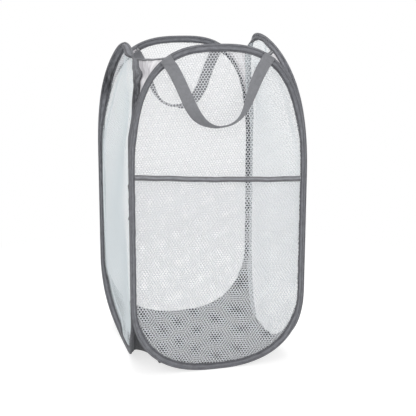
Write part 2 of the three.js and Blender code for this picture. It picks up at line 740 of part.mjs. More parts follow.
// The base cloth: sewn to the inner faces of the four bottom arcs, it dips to the floor between them
function baseCloth() {
  const first = TOP_STEPS + 2 + 2;
  const last = TOP_STEPS + 2 + BOTTOM_STEPS - 2;
  const edge = PANELS.flatMap((panel, index) => {
    const frames = ringFrames(panel).slice(first, last + 1);
    return frames.map((frame) => toHamper(index, faceInside(frame, frame.width / 2, BASE_THICKNESS / 2)));
  });
  const floor = BASE_LIFT + BASE_THICKNESS / 2;
  const innermost = BASE_RING_SHARES[BASE_RING_SHARES.length - 1];
  const rings = BASE_RING_SHARES.map((share) => edge.map((p) => {
    const rise = ((share - innermost) / (1 - innermost)) ** BASE_RISE_POWER;
    return new THREE.Vector3(p.x * share, p.y * share, floor + (p.z - floor) * rise);
  }));
  const middle = rings.flat();
  const count = middle.length;
  const points = [1, -1].flatMap((side) => [...middle, new THREE.Vector3(0, 0, floor)]
    .map((p) => p.clone().setZ(p.z + (side * BASE_THICKNESS) / 2)));
  const steps = edge.length;
  const layer = [];
  for (let k = 0; k < steps; k += 1) {
    const l = (k + 1) % steps;
    for (let ring = 0; ring + 1 < rings.length; ring += 1) {
      const outer = ring * steps;
      const inner = outer + steps;
      layer.push([outer + k, outer + l, inner + l], [outer + k, inner + l, inner + k]);
    }
    layer.push([count - steps + k, count - steps + l, count]);
  }
  const under = count + 1;
  const triangles = layer.flatMap(([a, b, c]) => [[a, b, c], [under + a, under + c, under + b]]);
  for (let k = 0; k < steps; k += 1) {
    const l = (k + 1) % steps;
    triangles.push([l, k, under + k], [l, under + k, under + l]);
  }
  return piece('base_cloth', solid(points, triangles), GREY_CLOTH);
}

// Assembly

function panelGroup(panel, index) {
  const group = new THREE.Group();
  const pieces = new THREE.Group();
  pieces.position.y = -PANEL_OFFSET;
  pieces.add(panelMesh(panel), springHoop(panel), wireSleeve(panel), binding(panel));
  if (panel.name === 'front') {
    pieces.add(pocketMesh(panel), pocketTape(panel));
    pieces.add(handleEnd(panel, 1, -1), handleEnd(panel, 1, 1), handleLoop(panel, 1));
  }
  if (panel.name === 'rear') {
    pieces.add(handleEnd(panel, -1, 1), handleEnd(panel, -1, -1), handleLoop(panel, -1));
  }
  group.add(pieces);
  group.rotation.z = (index * Math.PI) / 2;
  return group;
}

function hamper() {
  const all = new THREE.Group();
  PANELS.forEach((panel, index) => {
    all.add(panelGroup(panel, index), gusset(index), gussetHem(index));
  });
  all.add(baseCloth());
  const box = new THREE.Box3().setFromObject(all, true);
  all.position.y = -(box.min.y + box.max.y) / 2;
  const whole = new THREE.Group();
  whole.add(all);
  return whole;
}

export default hamper();
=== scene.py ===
import math

import bpy
import numpy as np
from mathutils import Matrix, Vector, noise


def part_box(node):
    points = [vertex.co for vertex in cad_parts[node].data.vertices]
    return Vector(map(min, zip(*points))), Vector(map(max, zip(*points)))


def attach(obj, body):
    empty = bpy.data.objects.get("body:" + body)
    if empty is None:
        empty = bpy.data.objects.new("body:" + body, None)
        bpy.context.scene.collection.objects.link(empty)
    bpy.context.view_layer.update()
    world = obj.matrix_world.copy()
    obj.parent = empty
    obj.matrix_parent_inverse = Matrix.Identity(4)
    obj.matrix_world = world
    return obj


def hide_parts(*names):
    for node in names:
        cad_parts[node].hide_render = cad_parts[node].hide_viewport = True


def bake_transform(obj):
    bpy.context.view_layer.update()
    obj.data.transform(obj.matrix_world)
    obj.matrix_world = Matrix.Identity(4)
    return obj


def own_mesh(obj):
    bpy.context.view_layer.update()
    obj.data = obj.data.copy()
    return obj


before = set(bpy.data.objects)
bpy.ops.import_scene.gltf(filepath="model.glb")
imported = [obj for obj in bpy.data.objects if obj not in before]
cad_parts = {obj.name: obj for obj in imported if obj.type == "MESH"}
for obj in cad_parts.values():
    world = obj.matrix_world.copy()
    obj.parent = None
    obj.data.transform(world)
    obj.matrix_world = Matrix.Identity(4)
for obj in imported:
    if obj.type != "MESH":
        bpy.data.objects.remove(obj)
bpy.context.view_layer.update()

# Lengths are in metres and angles in radians. A panel is one ring with its tape and net.
# Its own frame is (u, depth, z): across, in from the middle of its tape, and up.
# A pair of numbers for rise() is where a soft step starts and how long it is.

LEFT_LOW, LEFT_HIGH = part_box("left_binding")
MIDDLE_Y = (LEFT_LOW[1] + LEFT_HIGH[1]) / 2

# The rings, as the solids have them
PANEL_OFFSET = 0.1655
FRONT_HEIGHT, SIDE_HEIGHT = 0.607, 0.617
TOP_ARC, BOTTOM_ARC = 0.245, 0.150
LEAN_POWER = 1.4
FOOT = 0.0007  # how far a ring's outer edge reaches below the floor before the tape is laid on it
PANELS = {
    "front": dict(turn=0, height=FRONT_HEIGHT, top=0.012, bottom=0.016, top_power=2.75, bottom_power=2.35),
    "right": dict(turn=1, height=SIDE_HEIGHT, top=0.042, bottom=0.022, top_power=2.15, bottom_power=2.05),
    "rear": dict(turn=2, height=FRONT_HEIGHT, top=0.034, bottom=0.016, top_power=2.75, bottom_power=2.45),
    "left": dict(turn=3, height=SIDE_HEIGHT, top=0.042, bottom=0.022, top_power=2.15, bottom_power=2.05),
}
ORDER = ("front", "right", "rear", "left")

# The folded tape: a bead round the wire, and two flanges with a slot between them
BEAD_R = 0.0026
BEAD_HALF = BEAD_R * math.cos(math.pi / 8)
SEAM_GAP = 0.00035
HALF_WIDTH = PANEL_OFFSET - (BEAD_HALF * 2 + SEAM_GAP) / math.sqrt(2) + BEAD_HALF
ROOT = BEAD_HALF * 2 - 0.0004  # where the flanges leave the bead
FLANGE_HALF, SLOT_HALF = 0.0014, 0.0007
STITCH_SHARE = 0.80  # where the stitches run, from the tape's root to its edge
TAPE_WIDTH, SEAM_WIDTH, SEAM_END = 0.0140, 0.0105, 0.93

# Gussets and base turn the tapes in from their panels' planes
SEAM_TURN, SHOULDER_TURN, FOOT_TURN = math.radians(38), math.radians(66), math.radians(45)
TURN_STEP = (0.12, 0.4)
FRONT_SHOULDER_TURN, FRONT_TURN_STEP = math.radians(34), (0.58, 0.2)
EVEN_SHARE = 0.35  # of the turned tape's reach, where a net runs on between its tapes
EVEN_REACH = 0.04

# The left hoop's front half has sagged, and its shoulders' tape is gathered
LEFT_DROP, DROP_POWER, DROP_STEP = 0.042, 1.5, (-0.55, 0.9)
GATHERED_TURN, GATHERED_EXTRA = math.radians(76), 0.004
GATHERED_START, GATHERED_TOP, GATHERED_FADE = (0.455, 0.045), 0.600, 0.02
# Where the painted shade of the gathered tape's folds is deepest, and how far it reaches
FOLD_SHADE_LEVEL, FOLD_SHADE_REACH = 0.520, 0.035

# A gusset pulls a side hoop's shoulder in between two levels
LEFT_PULL, RIGHT_PULL = 0.0095, 0.006
PULL_START, PULL_END, PULL_REACH = (0.435, 0.080), (0.560, 0.040), 0.75

# The left hoop's front seam is sewn flat behind the front hoop's tape
NESTED_TURN, NEST_IN, NEST_BACK, NEST_STEP = math.radians(8), 0.0042, 0.0020, (0.75, 0.2)

FAR = 9.0  # more than any distance in the scene


def smooth(x):
    t = np.clip(x, 0, 1)
    return t * t * (3 - 2 * t)


def rise(x, start, length):
    """0 up to start and 1 from start + length on."""
    return smooth((x - start) / length)


def unit(v):
    return v / np.linalg.norm(v, axis=-1, keepdims=True)


def run(points):
    """Distance along a line of points, from its first."""
    return np.concatenate([[0], np.cumsum(np.linalg.norm(np.diff(points, axis=0), axis=1))])


# The shape of a panel

def is_side(p):
    return p["turn"] % 2 == 1


def is_left(p):
    return p["turn"] == 3


def levels(p):
    """Heights of the ring's lowest and highest point, of its arcs' ends and of its middle."""
    bottom, top = -FOOT, p["height"]
    shoulder = top - TOP_ARC - (p["height"] - FRONT_HEIGHT)
    return bottom, top, shoulder, bottom + BOTTOM_ARC, (bottom + top) / 2


def nested(p, u):
    """1 where the left hoop's tape is sewn flat behind the front hoop's."""
    return rise(u / HALF_WIDTH, *NEST_STEP) * is_left(p)


def pulled(p, u, z):
    """How far a side hoop's edge is pulled in, by its gusset and by the seam."""
    if not is_side(p):
        return 0 * u
    pull = rise(z, *PULL_START) * (1 - rise(z, *PULL_END)) * smooth(u / HALF_WIDTH / PULL_REACH)
    return (LEFT_PULL if is_left(p) else RIGHT_PULL) * pull + NEST_IN * nested(p, u)


def lean(p, u, z):
    """Depth of the panel's own plane, which is bowed like a saddle."""
    bottom, top, _, _, middle = levels(p)
    side = 1 - (u / HALF_WIDTH) ** 2
    above = np.maximum(z - middle, 0) / (top - middle)
    below = np.maximum(middle - z, 0) / (middle - bottom)
    at_rest = side * (p["top"] * above ** LEAN_POWER + p["bottom"] * below ** LEAN_POWER)
    return at_rest + pulled(p, u, z)


def half_width_at(p, z):
    """Half the panel's width over the tape at a height."""
    bottom, top, shoulder, hip, _ = levels(p)
    above = np.clip((z - shoulder) / (top - shoulder), 0, 1)
    below = np.clip((hip - z) / (hip - bottom), 0, 1)
    a, b = p["top_power"], p["bottom_power"]
    return HALF_WIDTH * (1 - above ** a) ** (1 / a) * (1 - below ** b) ** (1 / b)


def seam_share(u):
    """0 on the arcs, 1 where the panel's edge runs straight along a corner."""
    return smooth((np.abs(u) / HALF_WIDTH - SEAM_END) / (1 - SEAM_END))


def dropped(p, u, z):
    """How far a point of the left panel's top has come down."""
    if not is_left(p):
        return 0 * u
    _, top, shoulder, _, _ = levels(p)
    above = np.clip((z - shoulder) / (top - shoulder), 0, 1)
    return LEFT_DROP * above ** DROP_POWER * rise(u / HALF_WIDTH, *DROP_STEP)


def gathered(p, z):
    """1 on the left hoop's shoulders, where the gussets gather its tape and lay it broad."""
    return rise(z, *GATHERED_START) * smooth((GATHERED_TOP - z) / GATHERED_FADE) * is_left(p)


def tape_width(p, z, seam):
    return TAPE_WIDTH + (SEAM_WIDTH - TAPE_WIDTH) * seam + GATHERED_EXTRA * gathered(p, z)


def tape_turn(p, side, z, u):
    """Angle of the tape at (u, z), where half the panel's width is side."""
    seam, share = seam_share(side), side / HALF_WIDTH
    high = z > levels(p)[4]
    if not is_side(p):
        return FRONT_SHOULDER_TURN * rise(share, *FRONT_TURN_STEP) * (1 - seam) * high
    arc = np.where(high, SHOULDER_TURN, FOOT_TURN) * rise(share, *TURN_STEP)
    broad_step = np.where(u > 0, 0.03, TURN_STEP[0]), np.where(u > 0, 0.24, TURN_STEP[1])
    arc = np.where(is_left(p) & high, GATHERED_TURN * rise(share, *broad_step), arc)
    front_left = (u > 0) & is_left(p)
    return np.where(front_left, NESTED_TURN, SEAM_TURN) * seam + arc * (1 - seam)


def turned_in(p, u, z, samples=800, batch=4000):
    """How far a net stands in from its panel's plane.

    It lies in the tape's slot at its edge, and evenly between the tapes further in.
    """
    u, z = np.broadcast_arrays(np.asarray(u, float), np.asarray(z, float))
    shape, u, z = u.shape, u.ravel(), z.ravel()
    high = z + dropped(p, u, z)
    side = half_width_at(p, high)
    share = smooth((u / np.maximum(side, 1e-6) + 1) / 2)
    even = 0
    for sign, weight in ((1, share), (-1, 1 - share)):
        reach = tape_width(p, z, seam_share(side)) - BEAD_R
        even = even + weight * EVEN_SHARE * reach * np.sin(tape_turn(p, side, high, sign * side))
    line = ring_line(p, samples)[0]
    turns = tape_turn(p, np.abs(line[:, 0]), line[:, 2], line[:, 0])
    widths = tape_width(p, line[:, 2], seam_share(line[:, 0]))
    nearest = np.empty(u.shape, int)
    for first in range(0, len(u), batch):
        part = slice(first, first + batch)
        square = (u[part, None] - line[None, :, 0]) ** 2 + (z[part, None] - line[None, :, 2]) ** 2
        nearest[part] = np.argmin(square, axis=1)
    across = np.maximum(np.hypot(u - line[nearest, 0], z - line[nearest, 2]) - BEAD_R, 0)
    turn, width = turns[nearest], widths[nearest]
    seated = np.minimum(across * np.tan(turn), (width - BEAD_R) * np.sin(turn))
    inner = smooth((across - width) / EVEN_REACH)
    return (seated + (even - seated - pulled(p, u, z)) * inner).reshape(shape)


def to_part(p, u, depth, z):
    """A place in a panel's own frame, in the frame of the part."""
    v = depth - PANEL_OFFSET
    c, s = [(1, 0), (0, 1), (-1, 0), (0, -1)][p["turn"]]
    return np.stack([c * u - s * v, s * u + c * v + MIDDLE_Y, z + 0 * u], axis=-1)


def all_to_part(p, points):
    return to_part(p, points[..., 0], points[..., 1], points[..., 2])


def ring_line(p, steps, arc_steps=400, seam_steps=40):
    """Outer edge of the tape in the panel's frame, evenly spaced, and its length."""
    bottom, top, shoulder, hip, _ = levels(p)
    half_turn = np.linspace(0, math.pi, arc_steps)

    def arc(angle, power, level, reach):
        c, s = np.cos(angle), np.abs(np.sin(angle))
        u = np.sign(c) * HALF_WIDTH * np.abs(c) ** (2 / power)
        return np.stack([u, level + reach * s ** (2 / power)], axis=-1)

    def straight(u, start, end):
        return np.stack([np.full(seam_steps, u), np.linspace(start, end, seam_steps + 2)[1:-1]], axis=-1)

    flat = np.concatenate([
        arc(half_turn, p["top_power"], shoulder, top - shoulder),
        straight(-HALF_WIDTH, shoulder, hip),
        arc(math.pi + half_turn, p["bottom_power"], hip, bottom - hip),
        straight(HALF_WIDTH, hip, shoulder),
    ])
    flat = np.concatenate([flat, flat[:1]])
    gone = run(flat)
    at = np.linspace(0, gone[-1], steps, endpoint=False)
    u, z = np.interp(at, gone, flat[:, 0]), np.interp(at, gone, flat[:, 1])
    line = np.stack([u - NEST_BACK * nested(p, u), lean(p, u, z), z - dropped(p, u, z)], axis=-1)
    return line, gone[-1]


def ring_frames(p, steps, reach=0.0015):
    """The tape's outer edge, with its direction, the one from fold to edge, and the one out of its face."""
    line, length = ring_line(p, steps)
    along = unit(np.roll(line, -1, axis=0) - np.roll(line, 1, axis=0))
    probe = unit(np.stack([-along[:, 2], 0 * along[:, 0], along[:, 0]], axis=-1))
    further = lean(p, line[:, 0] + probe[:, 0] * reach, line[:, 2] + probe[:, 2] * reach)
    seam = seam_share(line[:, 0])
    probe[:, 1] = (further - line[:, 1]) / reach * (1 - seam)
    inward = unit(probe)
    turn = tape_turn(p, np.abs(line[:, 0]), line[:, 2], line[:, 0])[:, None]
    centre = line + inward * BEAD_R
    inward = inward * np.cos(turn) + np.array([0, 1.0, 0]) * np.sin(turn)
    line = centre - inward * BEAD_R
    out = unit(np.cross(along, inward))
    width = tape_width(p, line[:, 2], seam)
    return dict(at=line, along=along, inward=inward, out=out, width=width, length=length)


def place(f, i, across, off, along=0.0):
    return f["at"][i] + f["inward"][i] * across + f["out"][i] * off + f["along"][i] * along


# Meshes

def make(name, points, faces, material, uv=None, band=None):
    """uv lays out the weave, and band the shades across a tape."""
    mesh = bpy.data.meshes.new(name)
    points = np.asarray(points, float)
    if isinstance(faces, np.ndarray):
        count, sides = faces.shape
        mesh.vertices.add(len(points))
        mesh.vertices.foreach_set("co", points.ravel())
        mesh.loops.add(count * sides)
        mesh.loops.foreach_set("vertex_index", faces.ravel())
        mesh.polygons.add(count)
        mesh.polygons.foreach_set("loop_start", np.arange(0, count * sides, sides))
        mesh.polygons.foreach_set("loop_total", np.full(count, sides))
        mesh.update(calc_edges=True)
    else:
        mesh.from_pydata(points.tolist(), [], faces)
    for layer_name, values in (("cloth", uv), ("band", band)):
        if values is not None:
            layer = mesh.uv_layers.new(name=layer_name)
            index = np.empty(len(mesh.loops), int)
            mesh.loops.foreach_get("vertex_index", index)
            layer.data.foreach_set("uv", np.asarray(values, float)[index].ravel())
    mesh.validate()
    mesh.polygons.foreach_set("use_smooth", [True] * len(mesh.polygons))
    mesh.materials.append(material)
    o = bpy.data.objects.new(name, mesh)
    bpy.context.scene.collection.objects.link(o)
    return o


def loft(name, sections, closed, material, uv=None, band=None):
    """sections: (n, m, 3) points, each a closed outline. Capped when the loft is open."""
    n, m = sections.shape[:2]
    k = np.arange(m)
    rows = np.arange(n if closed else n - 1)
    a = (rows[:, None] * m + k).ravel()
    b = (rows[:, None] * m + (k + 1) % m).ravel()
    c = (((rows + 1) % n)[:, None] * m + (k + 1) % m).ravel()
    d = (((rows + 1) % n)[:, None] * m + k).ravel()
    faces = np.stack([a, b, c, d], axis=-1)
    if not closed:
        faces = faces.tolist() + [list(range(m - 1, -1, -1)), list(range((n - 1) * m, n * m))]
    return make(name, sections.reshape(-1, 3), faces, material, uv, band)


def grid_faces(rows, columns):
    a = (np.arange(rows - 1)[:, None] * columns + np.arange(columns - 1)).ravel()
    return np.stack([a, a + 1, a + columns + 1, a + columns], axis=-1)


def crossed(along, across):
    """Coordinates of a loft's or grid's points: each row's own, and each column's."""
    return np.stack([np.repeat(along, len(across)), np.tile(across, len(along))], axis=-1)


def with_mirrored(outline):
    return outline + [(-x, y) for x, y in outline[::-1]]


def ripple(points, scale, seed):
    return np.array([noise.noise(Vector((x / scale + seed, y / scale, z / scale))) for x, y, z in points])


# Materials

def feed(tree, value, target):
    """Link an input to another node's output, or set it to a value."""
    if isinstance(value, bpy.types.NodeSocket):
        tree.links.new(value, target)
    else:
        target.default_value = value


def tune(node, **values):
    """Set a node's own values or those of its inputs, in whose names _ stands for a space."""
    for key, value in values.items():
        if hasattr(node, key):
            setattr(node, key, value)
        else:
            node.inputs[key.replace("_", " ")].default_value = value


def add(tree, kind, **values):
    n = tree.nodes.new(kind)
    tune(n, **values)
    return n


def nodes_of(name):
    m = bpy.data.materials.new(name)
    m.use_nodes = True
    return m, m.node_tree, m.node_tree.nodes["Principled BSDF"]


def surface_is(tree, shader):
    feed(tree, shader, tree.nodes["Material Output"].inputs[0])


def math_node(tree, op, *values):
    n = add(tree, "ShaderNodeMath", operation=op)
    for value, target in zip(values, n.inputs):
        feed(tree, value, target)
    return n.outputs[0]


def times(tree, a, b):
    """A vector or colour times another one, or a value from a node."""
    n = add(tree, "ShaderNodeVectorMath", operation="MULTIPLY")
    feed(tree, a, n.inputs[0])
    feed(tree, b, n.inputs[1])
    return n.outputs[0]


def mixed(tree, factor, a, b):
    n = add(tree, "ShaderNodeMixShader")
    for value, target in zip((factor, a, b), n.inputs):
        feed(tree, value, target)
    return n.outputs[0]


def noise_on(tree, vector, **values):
    n = add(tree, "ShaderNodeTexNoise", **values)
    feed(tree, vector, n.inputs["Vector"])
    return n.outputs[0]


def object_place(tree):
    return add(tree, "ShaderNodeTexCoord").outputs["Object"]


def uv_place(tree, layer):
    """A uv layer's coordinates, as a vector and apart."""
    uv = add(tree, "ShaderNodeUVMap", uv_map=layer).outputs[0]
    split = add(tree, "ShaderNodeSeparateXYZ")
    feed(tree, uv, split.inputs[0])
    return uv, split.outputs[0], split.outputs[1]


def ramp(tree, value, dark, light):
    r = add(tree, "ShaderNodeValToRGB")
    r.color_ramp.elements[0].color = (*dark, 1)
    r.color_ramp.elements[1].color = (*light, 1)
    feed(tree, value, r.inputs[0])
    return r.outputs[0]


def bump(tree, bsdf, height, strength, distance):
    bumps = add(tree, "ShaderNodeBump", Strength=strength, Distance=distance)
    feed(tree, height, bumps.inputs["Height"])
    feed(tree, bumps.outputs[0], bsdf.inputs["Normal"])


def linear(v):
    return v / 12.92 if v <= 0.04045 else ((v + 0.055) / 1.055) ** 2.4


def srgb(r, g, b):
    return tuple(linear(v / 255) for v in (r, g, b))


def scaled(colour, *factors):
    """A colour times one factor, or one for each channel."""
    return tuple(v * k for v, k in zip(colour, factors * (3 // len(factors))))


def shaded(t, colour, shades):
    """Painted light and shade across a tape, with uneven streaks; where it is gathered, painted shade of its
    folds makes them deepest.
    """
    band, place_on, _ = uv_place(t, "band")
    tones = add(t, "ShaderNodeValToRGB")
    for k, (position, tone) in enumerate(shades):
        e = tones.color_ramp.elements[k] if k < 2 else tones.color_ramp.elements.new(position)
        e.position = position
        e.color = (tone, tone, tone, 1)
    feed(t, place_on, tones.inputs[0])
    streaks = noise_on(t, times(t, band, (5.0, 55.0, 1.0)), Scale=1.0, Detail=4.0, Roughness=0.6)
    # Painted shade of the gathered tape's folds, from the mesh's attribute, darkens the streaks
    fold_shade = add(t, "ShaderNodeAttribute", attribute_name="fold_shade").outputs["Fac"]
    streak = math_node(t, "MULTIPLY", math_node(t, "SUBTRACT", streaks, 0.5), 1.3)
    painted_fold_shade = math_node(t, "MULTIPLY", fold_shade, math_node(t, "SUBTRACT", streaks, 1.05))
    uneven = math_node(t, "ADD", math_node(t, "ADD", streak, 1.0), painted_fold_shade)
    return times(t, times(t, colour, tones.outputs[0]), math_node(t, "MAXIMUM", uneven, 0.2))


def woven(name, colour, dark, light, pitch, relief=0.35, twill=0.0, slub=0.5, shades=None):
    """A plain or twill weave laid out by the piece's cloth coordinates.

    dark and light are the yarn's range as shares of the colour. shades are pairs of a place
    across a tape, from its fold to its edge, and a tone of painted light and shade.
    """
    m, t, bsdf = nodes_of(name)
    _, x, y = uv_place(t, "cloth")
    warp = math_node(t, "SINE", math_node(t, "MULTIPLY", x, 2 * math.pi / pitch[0]))
    shifted = math_node(t, "ADD", y, math_node(t, "MULTIPLY", x, twill))
    weft = math_node(t, "SINE", math_node(t, "MULTIPLY", shifted, 2 * math.pi / pitch[1]))
    height = math_node(t, "MULTIPLY", warp, weft)
    spots = noise_on(t, object_place(t), Scale=150.0, Detail=5.0, Roughness=0.75)
    weave, slubs = math_node(t, "MULTIPLY", height, 0.22), math_node(t, "MULTIPLY", spots, slub * 1.6)
    level = math_node(t, "SUBTRACT", math_node(t, "ADD", weave, slubs), slub * 0.8 - 0.5)
    tinted = ramp(t, level, scaled(colour, dark), scaled(colour, light))
    feed(t, shaded(t, tinted, shades) if shades else tinted, bsdf.inputs["Base Color"])
    bump(t, bsdf, height, relief, 0.0004)
    tune(bsdf, Roughness=0.85, Sheen_Weight=0.15, Sheen_Roughness=0.5, Specular_IOR_Level=0.25)
    return m


def yarn(name, colour, rough=0.5, through=0.0):
    """Knitted thread. through is the share of light that passes it."""
    m, t, bsdf = nodes_of(name)
    where = object_place(t)
    spots = noise_on(t, where, Scale=35.0, Detail=3.0)
    feed(t, ramp(t, spots, scaled(colour, 0.9), colour), bsdf.inputs["Base Color"])
    bump(t, bsdf, noise_on(t, where, Scale=2500.0, Detail=2.0), 0.3, 0.0002)
    tune(bsdf, Roughness=rough, Specular_IOR_Level=0.4)
    if through:
        glow = add(t, "ShaderNodeBsdfTranslucent", Color=(*colour, 1))
        surface_is(t, mixed(t, through, bsdf.outputs[0], glow.outputs[0]))
    return m


def thin_cloth(name, colour):
    """Gusset cloth: darker in streaks along its height, painted shade of its creases, and half seen through.
    """
    m, t, bsdf = nodes_of(name)
    uv = uv_place(t, "cloth")[0]
    # Streaks stretched along the height, darkened towards a deeper tone: painted shade of the creases
    creases = noise_on(t, times(t, uv, (170.0, 22.0, 1.0)), Scale=1.0, Detail=3.0, Distortion=0.8)
    level = math_node(t, "MULTIPLY", math_node(t, "SUBTRACT", creases, 0.32), 3.2)
    feed(t, ramp(t, level, scaled(colour, 0.50, 0.46, 0.50), colour), bsdf.inputs["Base Color"])
    tune(bsdf, Roughness=0.55, Sheen_Weight=0.1)
    film = add(t, "ShaderNodeBsdfTranslucent", Color=(*colour, 1))
    clear = add(t, "ShaderNodeBsdfTransparent")
    lit = mixed(t, 0.35, bsdf.outputs[0], film.outputs[0])
    surface_is(t, mixed(t, 0.25, lit, clear.outputs[0]))
    return m


def steel(name):
    m, t, bsdf = nodes_of(name)
    spots = noise_on(t, object_place(t), Scale=400.0, Detail=2.0)
    feed(t, ramp(t, spots, (0.35, 0.35, 0.36), (0.55, 0.55, 0.57)), bsdf.inputs["Base Color"])
    tune(bsdf, Metallic=1, Roughness=0.35)
    return m


# Painted light and shade across the tape: a painted highlight on the ridge over the wire, painted shade in
# the crease behind it and at the edges, and a darker sunk line of stitches, partly thread and partly painted
# shade
TAPE_LIGHT_AND_SHADE = ((0.0, 0.74), (0.12, 1.02), (0.28, 1.08), (0.35, 0.62), (0.41, 1.0), (0.60, 1.22),
               (0.74, 1.08), (0.80, 0.6), (0.86, 0.66), (0.905, 1.08), (0.955, 0.92), (1.0, 0.5))
# Painted light and shade across a hem: painted shade at its edges, a painted highlight on its middle, and a
# darker stitch line, partly thread and partly painted shade
HEM_LIGHT_AND_SHADE = ((0.0, 0.45), (0.16, 0.95), (0.30, 1.2), (0.55, 1.15),
              (0.70, 0.62), (0.78, 0.66), (0.86, 1.0), (1.0, 0.42))
GREY, PALE_GREY = srgb(116, 117, 122), srgb(134, 135, 139)
TAPE = woven("tape", GREY, 0.50, 1.28, (0.0011, 0.0011), twill=1.0, shades=TAPE_LIGHT_AND_SHADE)
HEM = woven("hem", PALE_GREY, 0.6, 1.2, (0.0011, 0.0011), twill=1.0, shades=HEM_LIGHT_AND_SHADE)
WEBBING = woven("webbing", PALE_GREY, 0.7, 1.12, (0.0016, 0.0022), relief=0.5, slub=0.8)
# The base cloth's own grey, painted much darker: painted shade of the hamper's inside
SHADED_BASE = woven("base", GREY, 0.24, 0.42, (0.0012, 0.0012))
NET = yarn("net", srgb(247, 248, 250), through=0.45)
# The same white thread as the front and rear nets, tinted cool for the side panels: a painted tint of the
# cooler light on the sides
COOL_LIT_SIDE_NET = yarn("cool_lit_side_net", srgb(243, 248, 250), through=0.45)
CLOTH = thin_cloth("gusset_cloth", srgb(240, 238, 240))
THREAD = yarn("thread", srgb(88, 89, 94), 0.7)
STEEL = steel("steel")

# Folded tape, wire and stitches of each ring

TAPE_STEPS, WIRE_STEPS, WIRE_SIDES = 420, 300, 12
WIRE_R, SLEEVE_R, SLEEVE_HALF, SLEEVE_SHARE = 0.001, 0.0016, 0.010, 0.6
STITCH_PITCH, STITCH_HALF, STITCH_BROAD, STITCH_HIGH = 0.0042, 0.0015, 0.00035, 0.0003
FLANGE_SHARES = (1.0, 0.975, 0.90, 0.83, 0.80, 0.77, 0.68, 0.52, 0.30, 0.12)
GROOVES = {0.77: 0.00015, 0.80: 0.00045, 0.83: 0.00015, 1.0: 0.0002}  # depth at a share of the flange
BEAD_STEPS, BEAD_START = 10, 0.16
WAVE_HEIGHT, RAGGED_WIDTH = 0.0006, 0.0006
PUCKER_SIZE, PUCKER_HEIGHT = 0.0075, 0.0042
WIRE_PUCKER, STITCH_PUCKER = (0.35, 0.25), (0.62, 0.1)  # where puckers are across the tape, and how broad


def tape_profile(width):
    """Outline of the folded tape: bead, two flanges and the slot between them, as (across, off)."""
    outline = []
    for share in FLANGE_SHARES:
        outline.append((ROOT + (width - ROOT) * share, FLANGE_HALF - GROOVES.get(share, 0.0)))
    for k in range(BEAD_STEPS + 1):
        angle = math.pi * (BEAD_START + (1 - BEAD_START) * k / BEAD_STEPS)
        outline.append((BEAD_R + BEAD_R * math.cos(angle), BEAD_R * math.sin(angle)))
    lower = [(a, -o) for a, o in outline[::-1]][1:]
    slot = [(width, -SLOT_HALF), (ROOT, -SLOT_HALF), (ROOT, SLOT_HALF), (width, SLOT_HALF)]
    return np.array(outline + lower + slot)


def crumple(p, line):
    """How much the tape is gathered: most on the side hoops' shoulders, least along the seams."""
    u, z = np.abs(line[:, 0]) / HALF_WIDTH, line[:, 2]
    if not is_side(p):
        return 0.32 + 0.35 * rise(u, 0.55, 0.3) * (z > 0.4)
    return 0.3 + 0.9 * rise(u, 0.35, 0.25) * (z > 0.3) + 0.3 * (z < 0.1)


def binding(name, p):
    f = ring_frames(p, TAPE_STEPS)
    line = f["at"]
    wave = ripple(line, 0.022, 3 + p["turn"] * 7) * 0.7 + ripple(line, 0.008, 9 + p["turn"]) * 0.4
    ragged = ripple(line, 0.012, 21 + p["turn"] * 5)
    much = crumple(p, line)
    # puckers on the upper and lower face, near the wire and then near the stitches
    puckers = [np.maximum(ripple(line, PUCKER_SIZE, 31 + k * 11 + p["turn"]) + 0.12, 0) * much * PUCKER_HEIGHT
               for k in range(4)]

    def bell(share, middle, breadth):
        return np.exp(-((share - middle) / breadth) ** 2)

    sections = []
    for i in range(TAPE_STEPS):
        width = f["width"][i] + ragged[i] * RAGGED_WIDTH
        across, off = tape_profile(width).T
        share = np.clip((across - BEAD_HALF * 2) / (width - BEAD_HALF * 2), 0, 1)
        skin = (np.abs(off) > SLOT_HALF + 0.0001) & (across > BEAD_R)
        upper = off > 0
        high = np.where(upper, puckers[0][i], puckers[1][i]) * bell(share, *WIRE_PUCKER)
        high = high + np.where(upper, puckers[2][i], puckers[3][i]) * bell(share, *STITCH_PUCKER)
        off = off + np.where(skin, np.where(upper, 1, -1) * high, 0) + share * wave[i] * WAVE_HEIGHT
        points = f["at"][i] + np.outer(across, f["inward"][i]) + np.outer(off, f["out"][i])
        points[:, 2] = np.maximum(points[:, 2], 0.0)
        sections.append(all_to_part(p, points))
    sections = np.array(sections)
    along = np.arange(TAPE_STEPS) * f["length"] / TAPE_STEPS
    uv = crossed(along, run(sections[0]))
    band = crossed(along, np.clip(across / width, 0, 1))[:, ::-1]
    o = loft(f"{name}_tape", sections, True, TAPE, uv, band)
    # Painted shade of the gathered tape's folds on the left hoop's shoulders, deepest at one level
    dark = gathered(p, line[:, 2]) * bell(line[:, 2], FOLD_SHADE_LEVEL, FOLD_SHADE_REACH)
    fold_shade = o.data.attributes.new("fold_shade", "FLOAT", "POINT")
    fold_shade.data.foreach_set("value", np.repeat(dark, sections.shape[1]))
    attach(o, f"{name}_panel")
    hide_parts(f"{name}_binding")


def wire(name, p):
    """The spring wire in the tape's bead, thicker where its ends meet in a sleeve."""
    f = ring_frames(p, WIRE_STEPS)
    turn = np.arange(WIRE_SIDES) * math.pi * 2 / WIRE_SIDES
    step = f["length"] / WIRE_STEPS
    sections = []
    for i in range(WIRE_STEPS):
        radius = SLEEVE_R if abs(i * step - f["length"] * SLEEVE_SHARE) < SLEEVE_HALF else WIRE_R
        inward = np.outer(BEAD_R + radius * np.cos(turn), f["inward"][i])
        points = f["at"][i] + inward + np.outer(radius * np.sin(turn), f["out"][i])
        sections.append(all_to_part(p, points))
    o = loft(f"{name}_wire", np.array(sections), True, STEEL)
    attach(o, f"{name}_panel")
    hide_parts(f"{name}_spring_hoop", f"{name}_wire_sleeve")


